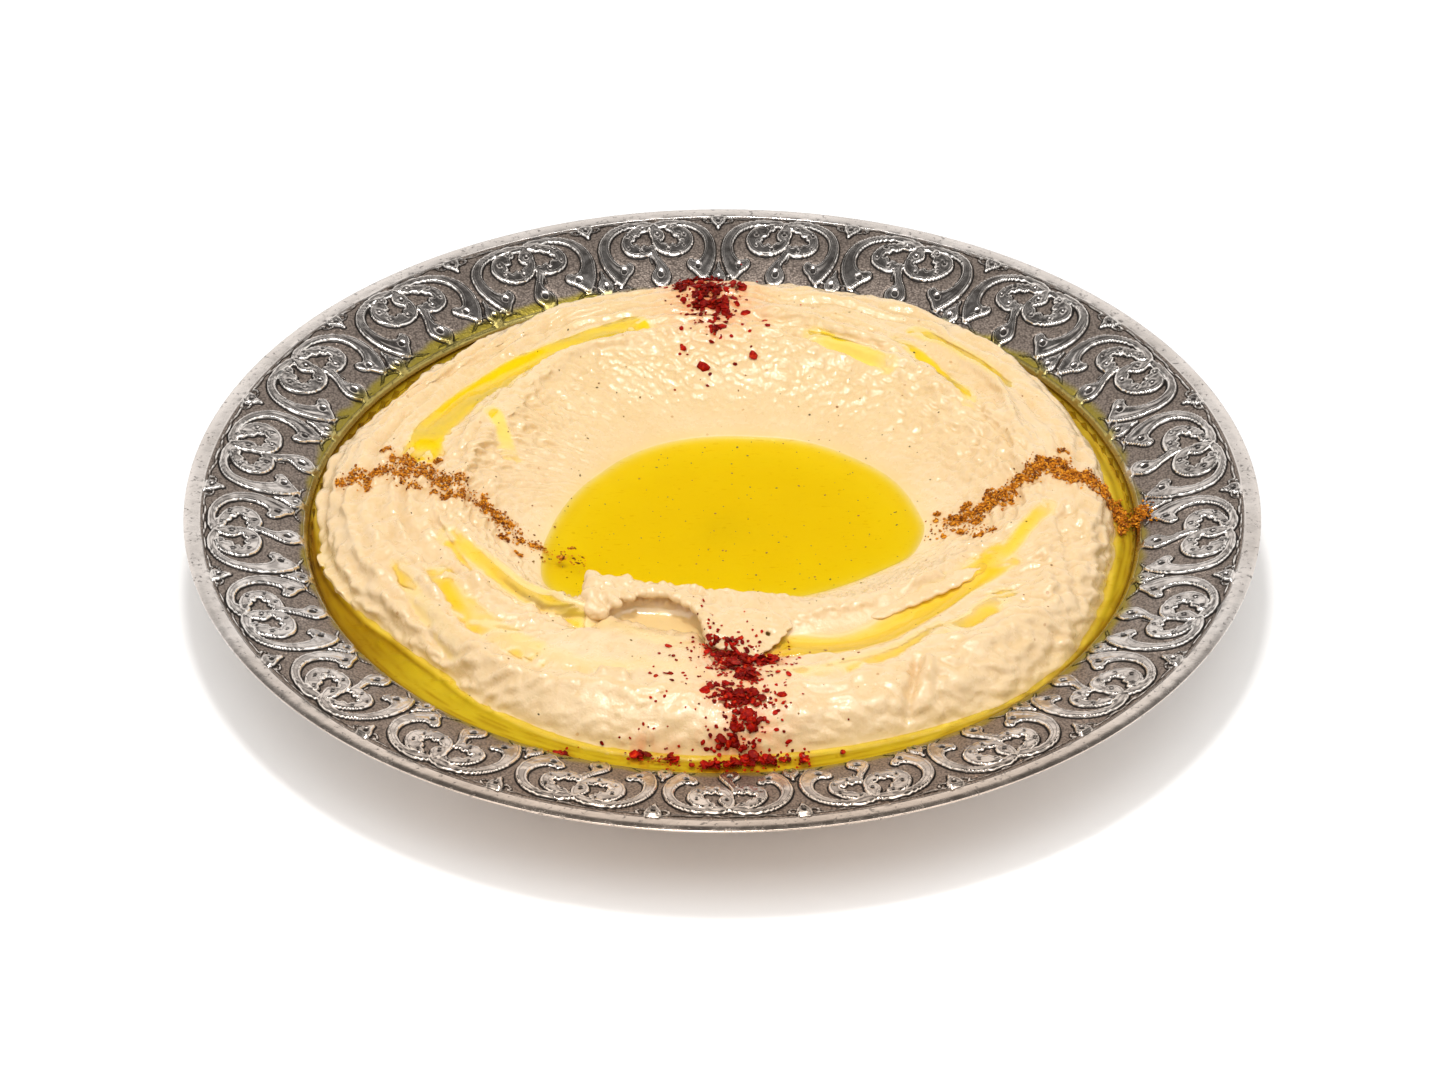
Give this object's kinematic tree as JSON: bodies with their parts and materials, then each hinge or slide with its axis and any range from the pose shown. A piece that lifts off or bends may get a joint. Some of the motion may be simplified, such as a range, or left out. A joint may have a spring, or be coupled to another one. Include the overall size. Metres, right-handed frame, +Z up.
{
  "type": "plate of hummus",
  "caption": "Hummus spread in a wide-rimmed embossed metal plate, with a crater of olive oil, oil in its furrows, chilli flakes and cumin.",
  "frame": {"origin": "centre of the plate's flat underside", "axes": "+Z up out of the plate; -Y is the front, where the low lip and the curl of the hummus are; +X is to the right seen from the front"},
  "size_m": [0.24, 0.24, 0.0303],
  "materials": {
    "plate_metal": "silvered, embossed and softly polished, with dark patina in the ornament",
    "hummus": "creamy, moist and slightly translucent food",
    "olive_oil": "clear golden olive oil"
  },
  "bodies": {
    "root": {"plate": "plate_metal", "hummus": "hummus", "oil_pool": "olive_oil", "oil_moat": "olive_oil", "oil_channel_front": "olive_oil", "oil_furrow_left": "olive_oil", "oil_furrow_back_left": "olive_oil", "oil_furrow_back_right": "olive_oil"}
  },
  "joints": []
}
